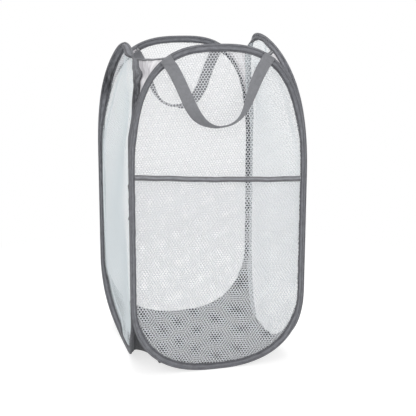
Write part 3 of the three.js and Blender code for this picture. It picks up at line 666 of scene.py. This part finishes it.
def stitches(name, p):
    """Thread in the tape's groove on both faces, each stitch a slim bar with pointed ends."""
    count = int(ring_line(p, 100)[1] / STITCH_PITCH)
    f = ring_frames(p, count * 2)
    shape = [(-STITCH_HALF, 0, 0)]
    for x in (-STITCH_HALF * 0.6, STITCH_HALF * 0.6):
        shape += [(x, STITCH_BROAD, 0), (x, 0, STITCH_HIGH), (x, -STITCH_BROAD, 0), (x, 0, -STITCH_HIGH)]
    shape.append((STITCH_HALF, 0, 0))
    ends = [(0, 2, 1), (0, 3, 2), (0, 4, 3), (0, 1, 4), (9, 5, 6), (9, 6, 7), (9, 7, 8), (9, 8, 5)]
    sides = []
    for a, b in ((1, 2), (2, 3), (3, 4), (4, 1)):
        sides += [(a, b, b + 4), (a, b + 4, a + 4)]
    points, faces = [], []
    for i in range(0, count * 2, 2):
        across = ROOT + (f["width"][i] - ROOT) * STITCH_SHARE
        for side in (1, -1):
            faces += [tuple(len(points) + k for k in face) for face in ends + sides]
            points += [place(f, i, across + y, side * (FLANGE_HALF + h - 0.0001), x) for x, y, h in shape]
    o = make(f"{name}_stitches", all_to_part(p, np.array(points)), np.array(faces), THREAD)
    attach(o, f"{name}_panel")


# Knitted net: hexagonal gaps, threads with a ridge on both faces

NET_ACROSS, NET_UP = 0.0056, 0.0085
GAP_SHARE = 0.80
THREAD_HALF = 0.00035
NET_TURNS = (0.02, 0.05, 0.17, -0.03)  # of the panels' nets, in the panels' order
POCKET_TURN = -0.085
MERGE = 1e-5  # corners nearer than this are one
WAVE_MARGIN, WAVE_STEP = 0.016, 0.04  # how far from its edge a net starts to wave, and waves in full


def inside_line(u, z, line):
    """Distance inside a closed outline, below zero outside it (line: (n, 2))."""
    u, z = np.asarray(u), np.asarray(z)
    inside = np.zeros(u.shape, bool)
    least = np.full(u.shape, np.inf)
    for (ax, ay), (bx, by) in zip(line, np.roll(line, -1, axis=0)):
        crosses = (ay > z) != (by > z)
        if ay != by:
            inside ^= crosses & (u < ax + (z - ay) / (by - ay) * (bx - ax))
        ex, ey = bx - ax, by - ay
        t = np.clip(((u - ax) * ex + (z - ay) * ey) / (ex * ex + ey * ey), 0, 1)
        least = np.minimum(least, np.hypot(u - ax - t * ex, z - ay - t * ey))
    return np.where(inside, least, -least)


def flat_outline(p, steps):
    return ring_line(p, steps)[0][:, [0, 2]]


def net(name, keep, surface, low, high, seed, turn, material=NET):
    """A net over the cells whose middle keep() takes. surface maps (u, z) to points and normals."""
    a, b = NET_ACROSS, NET_UP
    t, s = (b * b - a * a) / (4 * b), (a * a + b * b) / (4 * b)
    corner = np.array([(a / 2, -t), (a / 2, t), (0, s), (-a / 2, t), (-a / 2, -t), (0, -s)])
    reach = max(high[0] - low[0], high[1] - low[1]) * 0.75
    mid = (np.array(low) + np.array(high)) / 2
    rows, columns = int(reach / (b / 2)) + 2, int(reach / a) + 2
    j, i = np.meshgrid(np.arange(-rows, rows + 1), np.arange(-columns, columns + 1), indexing="ij")
    u, z = ((i + (j % 2) / 2) * a).ravel(), (j * b / 2).ravel()
    c, sn = math.cos(turn), math.sin(turn)
    centre = np.stack([c * u - sn * z, sn * u + c * z], axis=-1) + mid
    centre = centre[keep(centre[:, 0], centre[:, 1])]
    shape = corner @ np.array([[c, sn], [-sn, c]])
    outer = centre[:, None, :] + shape
    inner = centre[:, None, :] + shape * GAP_SHARE
    # corners of neighbouring cells that meet are one point
    code = np.round(outer / MERGE).astype(np.int64).reshape(-1, 2)
    code = code[:, 0] * 10_000_000 + code[:, 1]
    _, first, index = np.unique(code, return_index=True, return_inverse=True)
    ridge = outer.reshape(-1, 2)[first]
    index = index.reshape(-1, 6)
    flat = np.concatenate([inner.reshape(-1, 2), ridge, ridge])
    n_inner, n_ridge = len(inner) * 6, len(ridge)
    warp_u = 0.0006 * np.sin(flat[:, 1] / 0.031 + seed) + 0.0004 * np.sin(flat[:, 0] / 0.023 + seed * 2)
    warp_z = 0.0006 * np.sin(flat[:, 0] / 0.037 + seed * 3) + 0.0004 * np.sin(flat[:, 1] / 0.019 + seed)
    points, normal = surface(flat[:, 0] + warp_u, flat[:, 1] + warp_z)
    lift = np.repeat([0, THREAD_HALF, -THREAD_HALF], [n_inner, n_ridge, n_ridge])
    points = points + normal * lift[:, None]
    hole = np.arange(n_inner).reshape(-1, 6)
    k, l = np.arange(6), (np.arange(6) + 1) % 6
    above, below = n_inner + index, n_inner + n_ridge + index
    front = np.stack([hole[:, k], above[:, k], above[:, l], hole[:, l]], axis=-1)
    back = np.stack([hole[:, l], below[:, l], below[:, k], hole[:, k]], axis=-1)
    faces = np.concatenate([front.reshape(-1, 4), back.reshape(-1, 4)])
    return make(name, points, faces, material)


def panel_surface(p, seed, stand=None, wave=0.0012):
    """A net's surface: seated in the tape, waved in between, and stand() in front of the panel's own."""
    outline = flat_outline(p, 120)

    def depth(u, z):
        d = lean(p, u, z) + turned_in(p, u, z)
        return d if stand is None else d - stand(u, z)

    def surface(u, z):
        e = 1e-4
        d = depth(u, z)
        du = (depth(u + e, z) - d) / e
        dz = (depth(u, z + e) - d) / e
        soft = np.clip(inside_line(u, z, outline) - WAVE_MARGIN, 0, WAVE_STEP) / WAVE_STEP
        folds = np.sin(u / 0.061 + z / 0.083 + seed) + 0.6 * np.sin(u / 0.035 - z / 0.052 + seed * 2)
        normal = to_part(p, -du, 1 + 0 * u, -dz) - to_part(p, 0 * u, 0 * u, 0 * u)
        return to_part(p, u, d + wave * soft * folds, z), -unit(normal)
    return surface


def panel_net(name, p):
    bottom, top = levels(p)[:2]
    outline = flat_outline(p, 160)

    def keep(u, z):
        margin = 0.0054 + 0.0018 * np.cos(tape_turn(p, half_width_at(p, z), z, u))
        return inside_line(u, z, outline) > margin

    surface = panel_surface(p, 1.3 + p["turn"])
    # The side panels get the net with its painted cool tint
    o = net(f"{name}_net", keep, surface, (-HALF_WIDTH, bottom), (HALF_WIDTH, top), 0.7 + p["turn"],
            NET_TURNS[p["turn"]], COOL_LIT_SIDE_NET if is_side(p) else NET)
    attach(o, f"{name}_panel")
    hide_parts(f"{name}_panel_mesh")


# Pocket on the front, with a tape folded over its top edge

POCKET_HEIGHT, POCKET_SLANT, POCKET_BOW, POCKET_EDGE = 0.375, 0.018, 0.015, 0.00115
POCKET_SEWN = 0.0003  # how far the net stands off the panel where they are sewn together
POCKET_TAPE_STEPS, POCKET_TAPE_HALF, POCKET_TAPE_WALL, POCKET_TAPE_TALL = 120, 0.00145, 0.0008, 0.0092


def pocket_top(u):
    return POCKET_HEIGHT - POCKET_SLANT * u / (2 * HALF_WIDTH)


def pocket_stand(u, z):
    """How far the pocket stands off the panel."""
    side = np.maximum(1 - (u / HALF_WIDTH) ** 2, 0)
    share = np.clip((z - TAPE_WIDTH) / (pocket_top(u) - TAPE_WIDTH), 0, 1)
    return POCKET_EDGE + POCKET_BOW * side * share ** 0.45


def pocket(p):
    outline = flat_outline(p, 160)
    reach = HALF_WIDTH - SEAM_WIDTH

    def keep(u, z):
        return (inside_line(u, z, outline) > 0.0095) & (z < pocket_top(u) - 0.003)

    def stand(u, z):
        free = rise(inside_line(u, z, outline), 0.0135, 0.006)
        return POCKET_SEWN + (pocket_stand(u, z) - POCKET_SEWN) * free

    o = net("pocket_net", keep, panel_surface(p, 4.1, stand=stand, wave=0.0008),
            (-HALF_WIDTH, 0.0), (HALF_WIDTH, POCKET_HEIGHT + POCKET_SLANT / 2), 2.9, POCKET_TURN)
    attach(o, "front_panel")
    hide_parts("pocket_mesh")
    u = np.linspace(reach, -reach, POCKET_TAPE_STEPS)
    half, wall, tall = POCKET_TAPE_HALF, POCKET_TAPE_WALL, POCKET_TAPE_TALL
    profile = with_mirrored([(half, -0.0006), (half, -tall), (half - wall, -tall), (half - wall, -wall)])
    profile += [(-half * 0.6, 0), (half * 0.6, 0)]
    sections = []
    for x in u:
        sway = 0.0005 * math.sin(x / 0.021) + 0.0004 * math.sin(x / 0.0083)
        row = []
        for off, up in profile:
            z = pocket_top(x) + up
            row.append((x, float(lean(p, x, z) - pocket_stand(x, z)) - off, z + sway * 0.6))
        sections.append(all_to_part(p, np.array(row)))
    uv = crossed(u, np.arange(len(profile)) * 0.0025)
    band = crossed(u, [-up / tall for _, up in profile])[:, ::-1]
    tape = loft("pocket_tape", np.array(sections), False, HEM, uv, band)
    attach(tape, "front_panel")
    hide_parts("pocket_top_tape")


# Webbing handles

WEB_WIDTH, WEB_HALF = 0.022, 0.0008
BELLY = 0.012  # how far a loop's lowest point stands off the line of its ends
HANDLE_SPAN = 0.084  # where the solids' handles are sewn on, either side of the middle
SEWN_LENGTH = 0.0205  # of the webbing's end on the tape, in the solids
SEWN_STEPS, LOOP_STEPS, SQUARED_STEPS = 14, 60, 12
TAPE_EDGE = 0.0004  # how far the webbing's end stays back from the tape's fold


def handle_frame(p, across):
    """The tape's frame where it is across from the middle of its top."""
    f = ring_frames(p, 1600)
    lower = f["at"][:, 2] < levels(p)[4]
    i = int(np.argmin(np.abs(f["at"][:, 0] - across) + lower * FAR))
    return {k: f[k][i] for k in ("at", "along", "inward", "out")}


def web_outline():
    """The webbing's outline, with rounded edges."""
    r = WEB_HALF * 0.9
    points = []
    for sx, sy in ((1, 1), (-1, 1), (-1, -1), (1, -1)):
        for k in (0, 1, 2) if sx * sy > 0 else (2, 1, 0):
            angle = math.pi / 4 * k
            points.append((sx * (WEB_WIDTH / 2 - r + r * math.cos(angle)),
                           sy * (WEB_HALF - r + r * math.sin(angle))))
    return points


WEB_OUTLINE = web_outline()
WEB_ACROSS = [x for x, _ in WEB_OUTLINE]


def handle_half(f, face, drop, twist, late, middle, level):
    """From a sewn end down to the lowest point: outlines of the webbing, each square to its path.

    The first outlines are cut level, so that they lie on the joint's line.
    """
    tilt = abs(f["out"][0]) * WEB_WIDTH / 2
    off = face * (FLANGE_HALF + 0.0005 + WEB_HALF * 3 + tilt * 0.8)
    sign = np.sign(f["at"][0])
    start = f["at"] + f["inward"] * (level - f["at"][2]) / f["inward"][2] + f["out"] * off
    low, belly = start[2] - drop, start[1] - face * BELLY
    control = [start, start + f["inward"] * drop * 0.55,
               np.array([middle + (start[0] - middle) * 0.62, belly, low]), np.array([middle, belly, low])]
    half = []
    for i in range(LOOP_STEPS + 1):
        t = i / LOOP_STEPS
        weights = [(1 - t) ** 3, 3 * (1 - t) ** 2 * t, 3 * (1 - t) * t * t, t ** 3]
        slopes = [(1 - t) ** 2, 2 * (1 - t) * t, t * t]
        at = sum(c * k for c, k in zip(control, weights))
        along = unit(sum((control[j + 1] - control[j]) * slopes[j] for j in range(3)))
        broad = unit(np.cross(along, np.array([0, -face, 0]))) * sign
        facing = unit(np.cross(broad, along)) * sign
        turn = twist * float(smooth((t - late) / (1 - late)))
        width = broad * math.cos(turn) + facing * math.sin(turn)
        thick = unit(np.cross(along, width)) * sign
        if i < SQUARED_STEPS:
            squared = float(smooth(i / SQUARED_STEPS))
            width = np.array([1 / width[0], 0, 0]) * (1 - squared) + width * squared
        sag = 0.0006 * math.sin(9 * t + middle * 300)
        half.append([at + width * x * sign + thick * (y + sag) for x, y in WEB_OUTLINE])
    return np.array(half), start


def sewn_end(name, p, f, face, start, side):
    """The webbing's end, sewn over the tape from its folded edge inwards and flush with the loop."""
    end = start[2] - 0.0004
    columns = []
    for x, y in WEB_OUTLINE:
        top = f["at"] + f["along"] * -x
        whole = (end - top[2]) / f["inward"][2]
        column = []
        for t in np.linspace(0, 1, SEWN_STEPS):
            across = TAPE_EDGE + (whole - TAPE_EDGE) * t
            over = (BEAD_R - FLANGE_HALF + 0.0004) * (1 - rise(across, 0.0045, 0.004))
            middle = face * (FLANGE_HALF + 0.0006 + WEB_HALF + over)
            point = top + f["inward"] * across + f["out"] * (middle + y)
            flush = float(rise(t, 0.45, 0.55))
            point[1] = point[1] * (1 - flush) + (start[1] + f["out"][1] * y) * flush
            column.append(point)
        columns.append(column)
    rows = np.array(columns).transpose(1, 0, 2)
    uv = crossed(np.linspace(0, 0.021, SEWN_STEPS), WEB_ACROSS)
    o = loft(f"{name}_sewn_end_{side}", all_to_part(p, rows), False, WEBBING, uv)
    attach(o, f"{name}_panel")
    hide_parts(f"{name}_handle_end_{side}")


def handle(name, p, face, spans, drop, twists, lates):
    """spans, twists and lates are for the end at positive u, then for the one at negative u."""
    frames = [handle_frame(p, spans[0]), handle_frame(p, -spans[1])]
    middle = (spans[0] - spans[1]) / 2
    sewn = handle_frame(p, HANDLE_SPAN)
    level = sewn["at"][2] + sewn["inward"][2] * SEWN_LENGTH
    right, right_start = handle_half(frames[0], face, drop, twists[0], lates[0], middle, level)
    mirrored = {k: frames[1][k] * np.array([-1, 1, 1]) for k in ("at", "inward", "out")}
    left, left_start = handle_half(mirrored, face, drop, twists[1], lates[1], -middle, level)
    left[:, :, 0] *= -1
    left_start[0] *= -1
    local = np.concatenate([right, left[:-1][::-1]])
    local[len(right) - 1] = right[-1] * 0.5 + left[-1] * 0.5
    uv = crossed(run(local.mean(axis=1)), WEB_ACROSS)
    o = loft(f"{name}_loop", all_to_part(p, local), False, WEBBING, uv)
    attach(o, f"{name}_handle")
    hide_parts(f"{name}_handle")
    for f, start, side in zip(frames, (right_start, left_start), ("right", "left")):
        sewn_end(name, p, f, face, start, side)


# Gussets: thin triangles of cloth between two rings' tapes, above their seam

GUSSET_ROWS, GUSSET_COLUMNS = 26, 44
GUSSET_LOW, GUSSET_TOP = 0.475, 0.5905
GUSSET_BULGE, GUSSET_FOLD, GUSSET_FOLDS, GUSSET_SAG = 0.009, 0.0035, 9, 0.004
SIDE_SHARE, FRONT_SHARE = 0.9, 0.5  # of the tape's width, where a gusset is sewn on
HEM_TALL = 0.0055
HEM_PROFILE = with_mirrored([(0.0012, -0.0008), (0.0012, HEM_TALL), (0.0004, HEM_TALL), (0.0004, 0.0002)])


def gusset_edge(p, sign, top):
    """Where a gusset is sewn to a ring's tape, from its point up."""
    f = ring_frames(p, 1200)
    side = (np.sign(f["at"][:, 0]) == sign) & (f["at"][:, 2] > 0.3)
    share = SIDE_SHARE if is_side(p) else FRONT_SHARE
    points = []
    for z in np.linspace(GUSSET_LOW, top, GUSSET_ROWS):
        i = int(np.argmin(np.where(side, np.abs(f["at"][:, 2] - z), FAR)))
        points.append(place(f, i, f["width"][i] * share, -(FLANGE_HALF + 0.0006)))
    return all_to_part(p, np.array(points))


def creased(s, t, index):
    """Depth of the creases at a place in the cloth."""
    large = noise.noise(Vector((s * 5 + index * 3, t * 4, 0.3))) * 0.007
    return large + noise.noise(Vector((s * 12, t * 9 + index, 1.3))) * 0.003


def gusset(index, name, bodies, tops=(GUSSET_TOP, GUSSET_TOP)):
    """The gusset between panel number index and the next. Without two bodies it rides the rear panel."""
    names = ORDER[index], ORDER[(index + 1) % 4]
    left = gusset_edge(PANELS[names[0]], 1, tops[0])
    right = gusset_edge(PANELS[names[1]], -1, tops[1])
    share = np.linspace(0, 1, GUSSET_COLUMNS)
    grid = left[:, None, :] * (1 - share)[None, :, None] + right[:, None, :] * share[None, :, None]
    inward = np.array([0, MIDDLE_Y, 0]) - (left + right) / 2
    inward[:, 2] = 0
    inward = unit(inward)
    tall = np.linspace(0, 1, GUSSET_ROWS)[:, None]
    slack = np.sin(math.pi * share)[None, :]
    folds = GUSSET_FOLD * np.sin(math.pi * GUSSET_FOLDS * share)[None, :]
    creases = np.array([[creased(s, t, index) for s in share] for t in tall[:, 0]])
    bulge = slack * tall * (GUSSET_BULGE + folds) + creases * slack * np.minimum(tall * 3, 1)
    grid = grid + inward[:, None, :] * bulge[:, :, None]
    grid[:, :, 2] += -GUSSET_SAG * slack * tall ** 2
    wide = float(np.linalg.norm(left[-1] - right[-1]))
    uv = crossed(np.linspace(GUSSET_LOW, GUSSET_TOP, GUSSET_ROWS), share * wide)[:, ::-1]
    faces = grid_faces(GUSSET_ROWS, GUSSET_COLUMNS)
    o = make(f"{name}_gusset_cloth", grid.reshape(-1, 3), faces, CLOTH, uv)
    top, below = grid[-1], grid[-3]
    sections = []
    for edge, lower in zip(top, below):
        down = unit(lower - edge)
        sections.append([edge + inward[-1] * x + down * y for x, y in HEM_PROFILE])
    gone = run(top)
    uv = crossed(gone, np.arange(len(HEM_PROFILE)) * 0.002)
    band = crossed(gone, [np.clip(y / HEM_TALL, 0, 1) for _, y in HEM_PROFILE])[:, ::-1]
    hem = loft(f"{name}_hem", np.array(sections), False, HEM, uv, band)
    for piece in (o, hem):
        if bodies is None:
            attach(piece, "rear_panel")
        else:
            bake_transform(piece)
    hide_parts(f"{name}_gusset")
    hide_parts(f"{name}_hem_tape")


# Base

BASE_TOP = 0.100  # where the base meets the corners
BASE_LAID = 0.66  # the share of the base's width that lies on the floor
BASE_STEPS, BASE_ROUNDS = 72, 1500
BASE_LEVEL = 0.0018  # its height above the floor
BASE_SHARE = 0.75  # of the tape's width, where the base is sewn on
BUMP_SIZE, BUMP_HEIGHT = 0.045, 0.0012


def base_edge(p, samples=2400):
    """Where the base is sewn to a ring's bottom arc."""
    f = ring_frames(p, samples)
    low = sorted(np.flatnonzero(f["at"][:, 2] < BASE_TOP), key=lambda i: f["at"][i][0])
    picked = [low[int(k)] for k in np.linspace(0, len(low) - 1, BASE_STEPS)]
    sewn = [place(f, i, f["width"][i] * BASE_SHARE, -(FLANGE_HALF + 0.0008)) for i in picked]
    return all_to_part(p, np.array(sewn))


def base():
    """A cloth drawn tight between the four bottom arcs, whose middle is laid on the floor."""
    n = BASE_STEPS
    front, right, rear, left = [base_edge(PANELS[name]) for name in ORDER]
    rear, left = rear[::-1], left[::-1]
    share = np.linspace(0, 1, n)
    grid = front[None, :, :] * (1 - share)[:, None, None] + rear[None, :, :] * share[:, None, None]
    grid[:, -1], grid[:, 0] = right, left
    grid[0], grid[-1] = front, rear
    for row in (0, -1):
        for column, side in ((0, left), (-1, right)):
            grid[row, column] = (grid[row, column] + side[row]) / 2
    out = np.abs(np.linspace(-1, 1, n))
    laid = np.maximum(out[:, None], out[None, :])[1:-1, 1:-1] < BASE_LAID
    for _ in range(BASE_ROUNDS):
        mean = (grid[:-2, 1:-1] + grid[2:, 1:-1] + grid[1:-1, :-2] + grid[1:-1, 2:]) / 4
        grid[1:-1, 1:-1] = mean
        grid[1:-1, 1:-1, 2] = np.where(laid, BASE_LEVEL, np.maximum(mean[:, :, 2], BASE_LEVEL))
    inner = np.zeros((n, n), bool)
    inner[1:-1, 1:-1] = True
    points = grid.reshape(-1, 3)
    points[:, 2] += np.where(inner.ravel(), np.abs(ripple(points, BUMP_SIZE, 5.0)) * BUMP_HEIGHT, 0)
    o = make("base_sheet", points, grid_faces(n, n), SHADED_BASE, uv=points[:, :2])
    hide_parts("base_cloth")
    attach(o, "front_panel")
    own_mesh(o)


for panel_name, panel in PANELS.items():
    binding(panel_name, panel)
    wire(panel_name, panel)
    stitches(panel_name, panel)
    panel_net(panel_name, panel)
pocket(PANELS["front"])
handle("front", PANELS["front"], 1, (0.094, 0.097), 0.111, (1.3, 1.3), (0.0, 0.3))
handle("rear", PANELS["rear"], -1, (0.098, 0.084), 0.109, (1.5, 1.3), (-0.3, 0.25))
gusset(0, "front_right", ("front_panel", "right_panel"))
gusset(1, "rear_right", None)
gusset(2, "rear_left", ("rear_panel", "left_panel"))
gusset(3, "front_left", ("left_panel", "front_panel"), (0.575, 0.5965))
base()

# Camera, light and floor. The camera comes from the fit to the photo's outlines, in its pixels.

PICTURE, FOCAL, SHIFT_X, SHIFT_Y = 416, 943, 11.8, -13.1
SENSOR = 36  # millimetres
DISTANCE, AZIMUTH, ELEVATION = 1.857, math.radians(-14.5), math.radians(12.46)
TARGET = Vector((0, MIDDLE_Y, 0.3037))
BACK = Vector((math.sin(AZIMUTH) * math.cos(ELEVATION),
               -math.cos(AZIMUTH) * math.cos(ELEVATION), math.sin(ELEVATION)))

scene = bpy.context.scene
camera_data = bpy.data.cameras.new("camera")
camera = bpy.data.objects.new("camera", camera_data)
scene.collection.objects.link(camera)
camera.location = TARGET + BACK * DISTANCE
camera.rotation_mode = "QUATERNION"
camera.rotation_quaternion = (-BACK).to_track_quat("-Z", "Y")
camera_data.lens = FOCAL / PICTURE * SENSOR
camera_data.sensor_width = SENSOR
camera_data.shift_x = SHIFT_X / PICTURE
camera_data.shift_y = SHIFT_Y / PICTURE
scene.camera = camera


def light_path(tree):
    """1 for what the camera sees itself, in a shiny surface or through a clear one."""
    rays = add(tree, "ShaderNodeLightPath").outputs
    seen = math_node(tree, "MAXIMUM", rays["Is Camera Ray"], rays["Is Glossy Ray"])
    return math_node(tree, "MAXIMUM", seen, rays["Is Transmission Ray"])


def white_floor(name):
    """White in view, with the object's soft shadow on it, and plain pale to the light it gives back."""
    m, t, bsdf = nodes_of(name)
    tune(bsdf, Base_Color=(0.8, 0.8, 0.8, 1), Roughness=0.9)
    faint = add(t, "ShaderNodeBsdfDiffuse", Color=(0.42, 0.42, 0.42, 1))
    glow = add(t, "ShaderNodeEmission", Strength=0.72)
    both = add(t, "ShaderNodeAddShader")
    feed(t, faint.outputs[0], both.inputs[0])
    feed(t, glow.outputs[0], both.inputs[1])
    plain = add(t, "ShaderNodeEmission", Strength=1.0)
    length = add(t, "ShaderNodeVectorMath", operation="LENGTH")
    feed(t, object_place(t), length.inputs[0])
    far = add(t, "ShaderNodeMapRange", From_Min=0.35, From_Max=0.9)
    feed(t, length.outputs["Value"], far.inputs["Value"])
    fade = mixed(t, far.outputs[0], both.outputs[0], plain.outputs[0])
    surface_is(t, mixed(t, light_path(t), bsdf.outputs[0], fade))
    return m


def lamp(name, location, size, power):
    data = bpy.data.lights.new(name, "AREA")
    data.size = size
    data.energy = power
    o = bpy.data.objects.new(name, data)
    scene.collection.objects.link(o)
    o.location = location
    o.rotation_mode = "QUATERNION"
    o.rotation_quaternion = (Vector(location) - Vector((0, 0, 0.3))).to_track_quat("Z", "Y")


lamp("key", (-1.6, -2.6, 2.6), 2.4, 60)
lamp("fill", (2.2, -1.6, 1.4), 2.0, 22)
lamp("top", (0, 0.6, 3.0), 2.5, 30)
world = bpy.data.worlds.new("world")
scene.world = world
world.use_nodes = True
sky = world.node_tree
background = sky.nodes["Background"]
background.inputs[0].default_value = (1, 1, 1, 1)
strength = math_node(sky, "ADD", math_node(sky, "MULTIPLY", light_path(sky), 0.4), 0.6)
feed(sky, strength, background.inputs[1])

bpy.ops.mesh.primitive_plane_add(size=14, location=(0, 0, -0.0002))
floor = bpy.context.object
floor.name = "floor"
floor.data.materials.append(white_floor("floor_white"))

scene.view_settings.view_transform = "Standard"
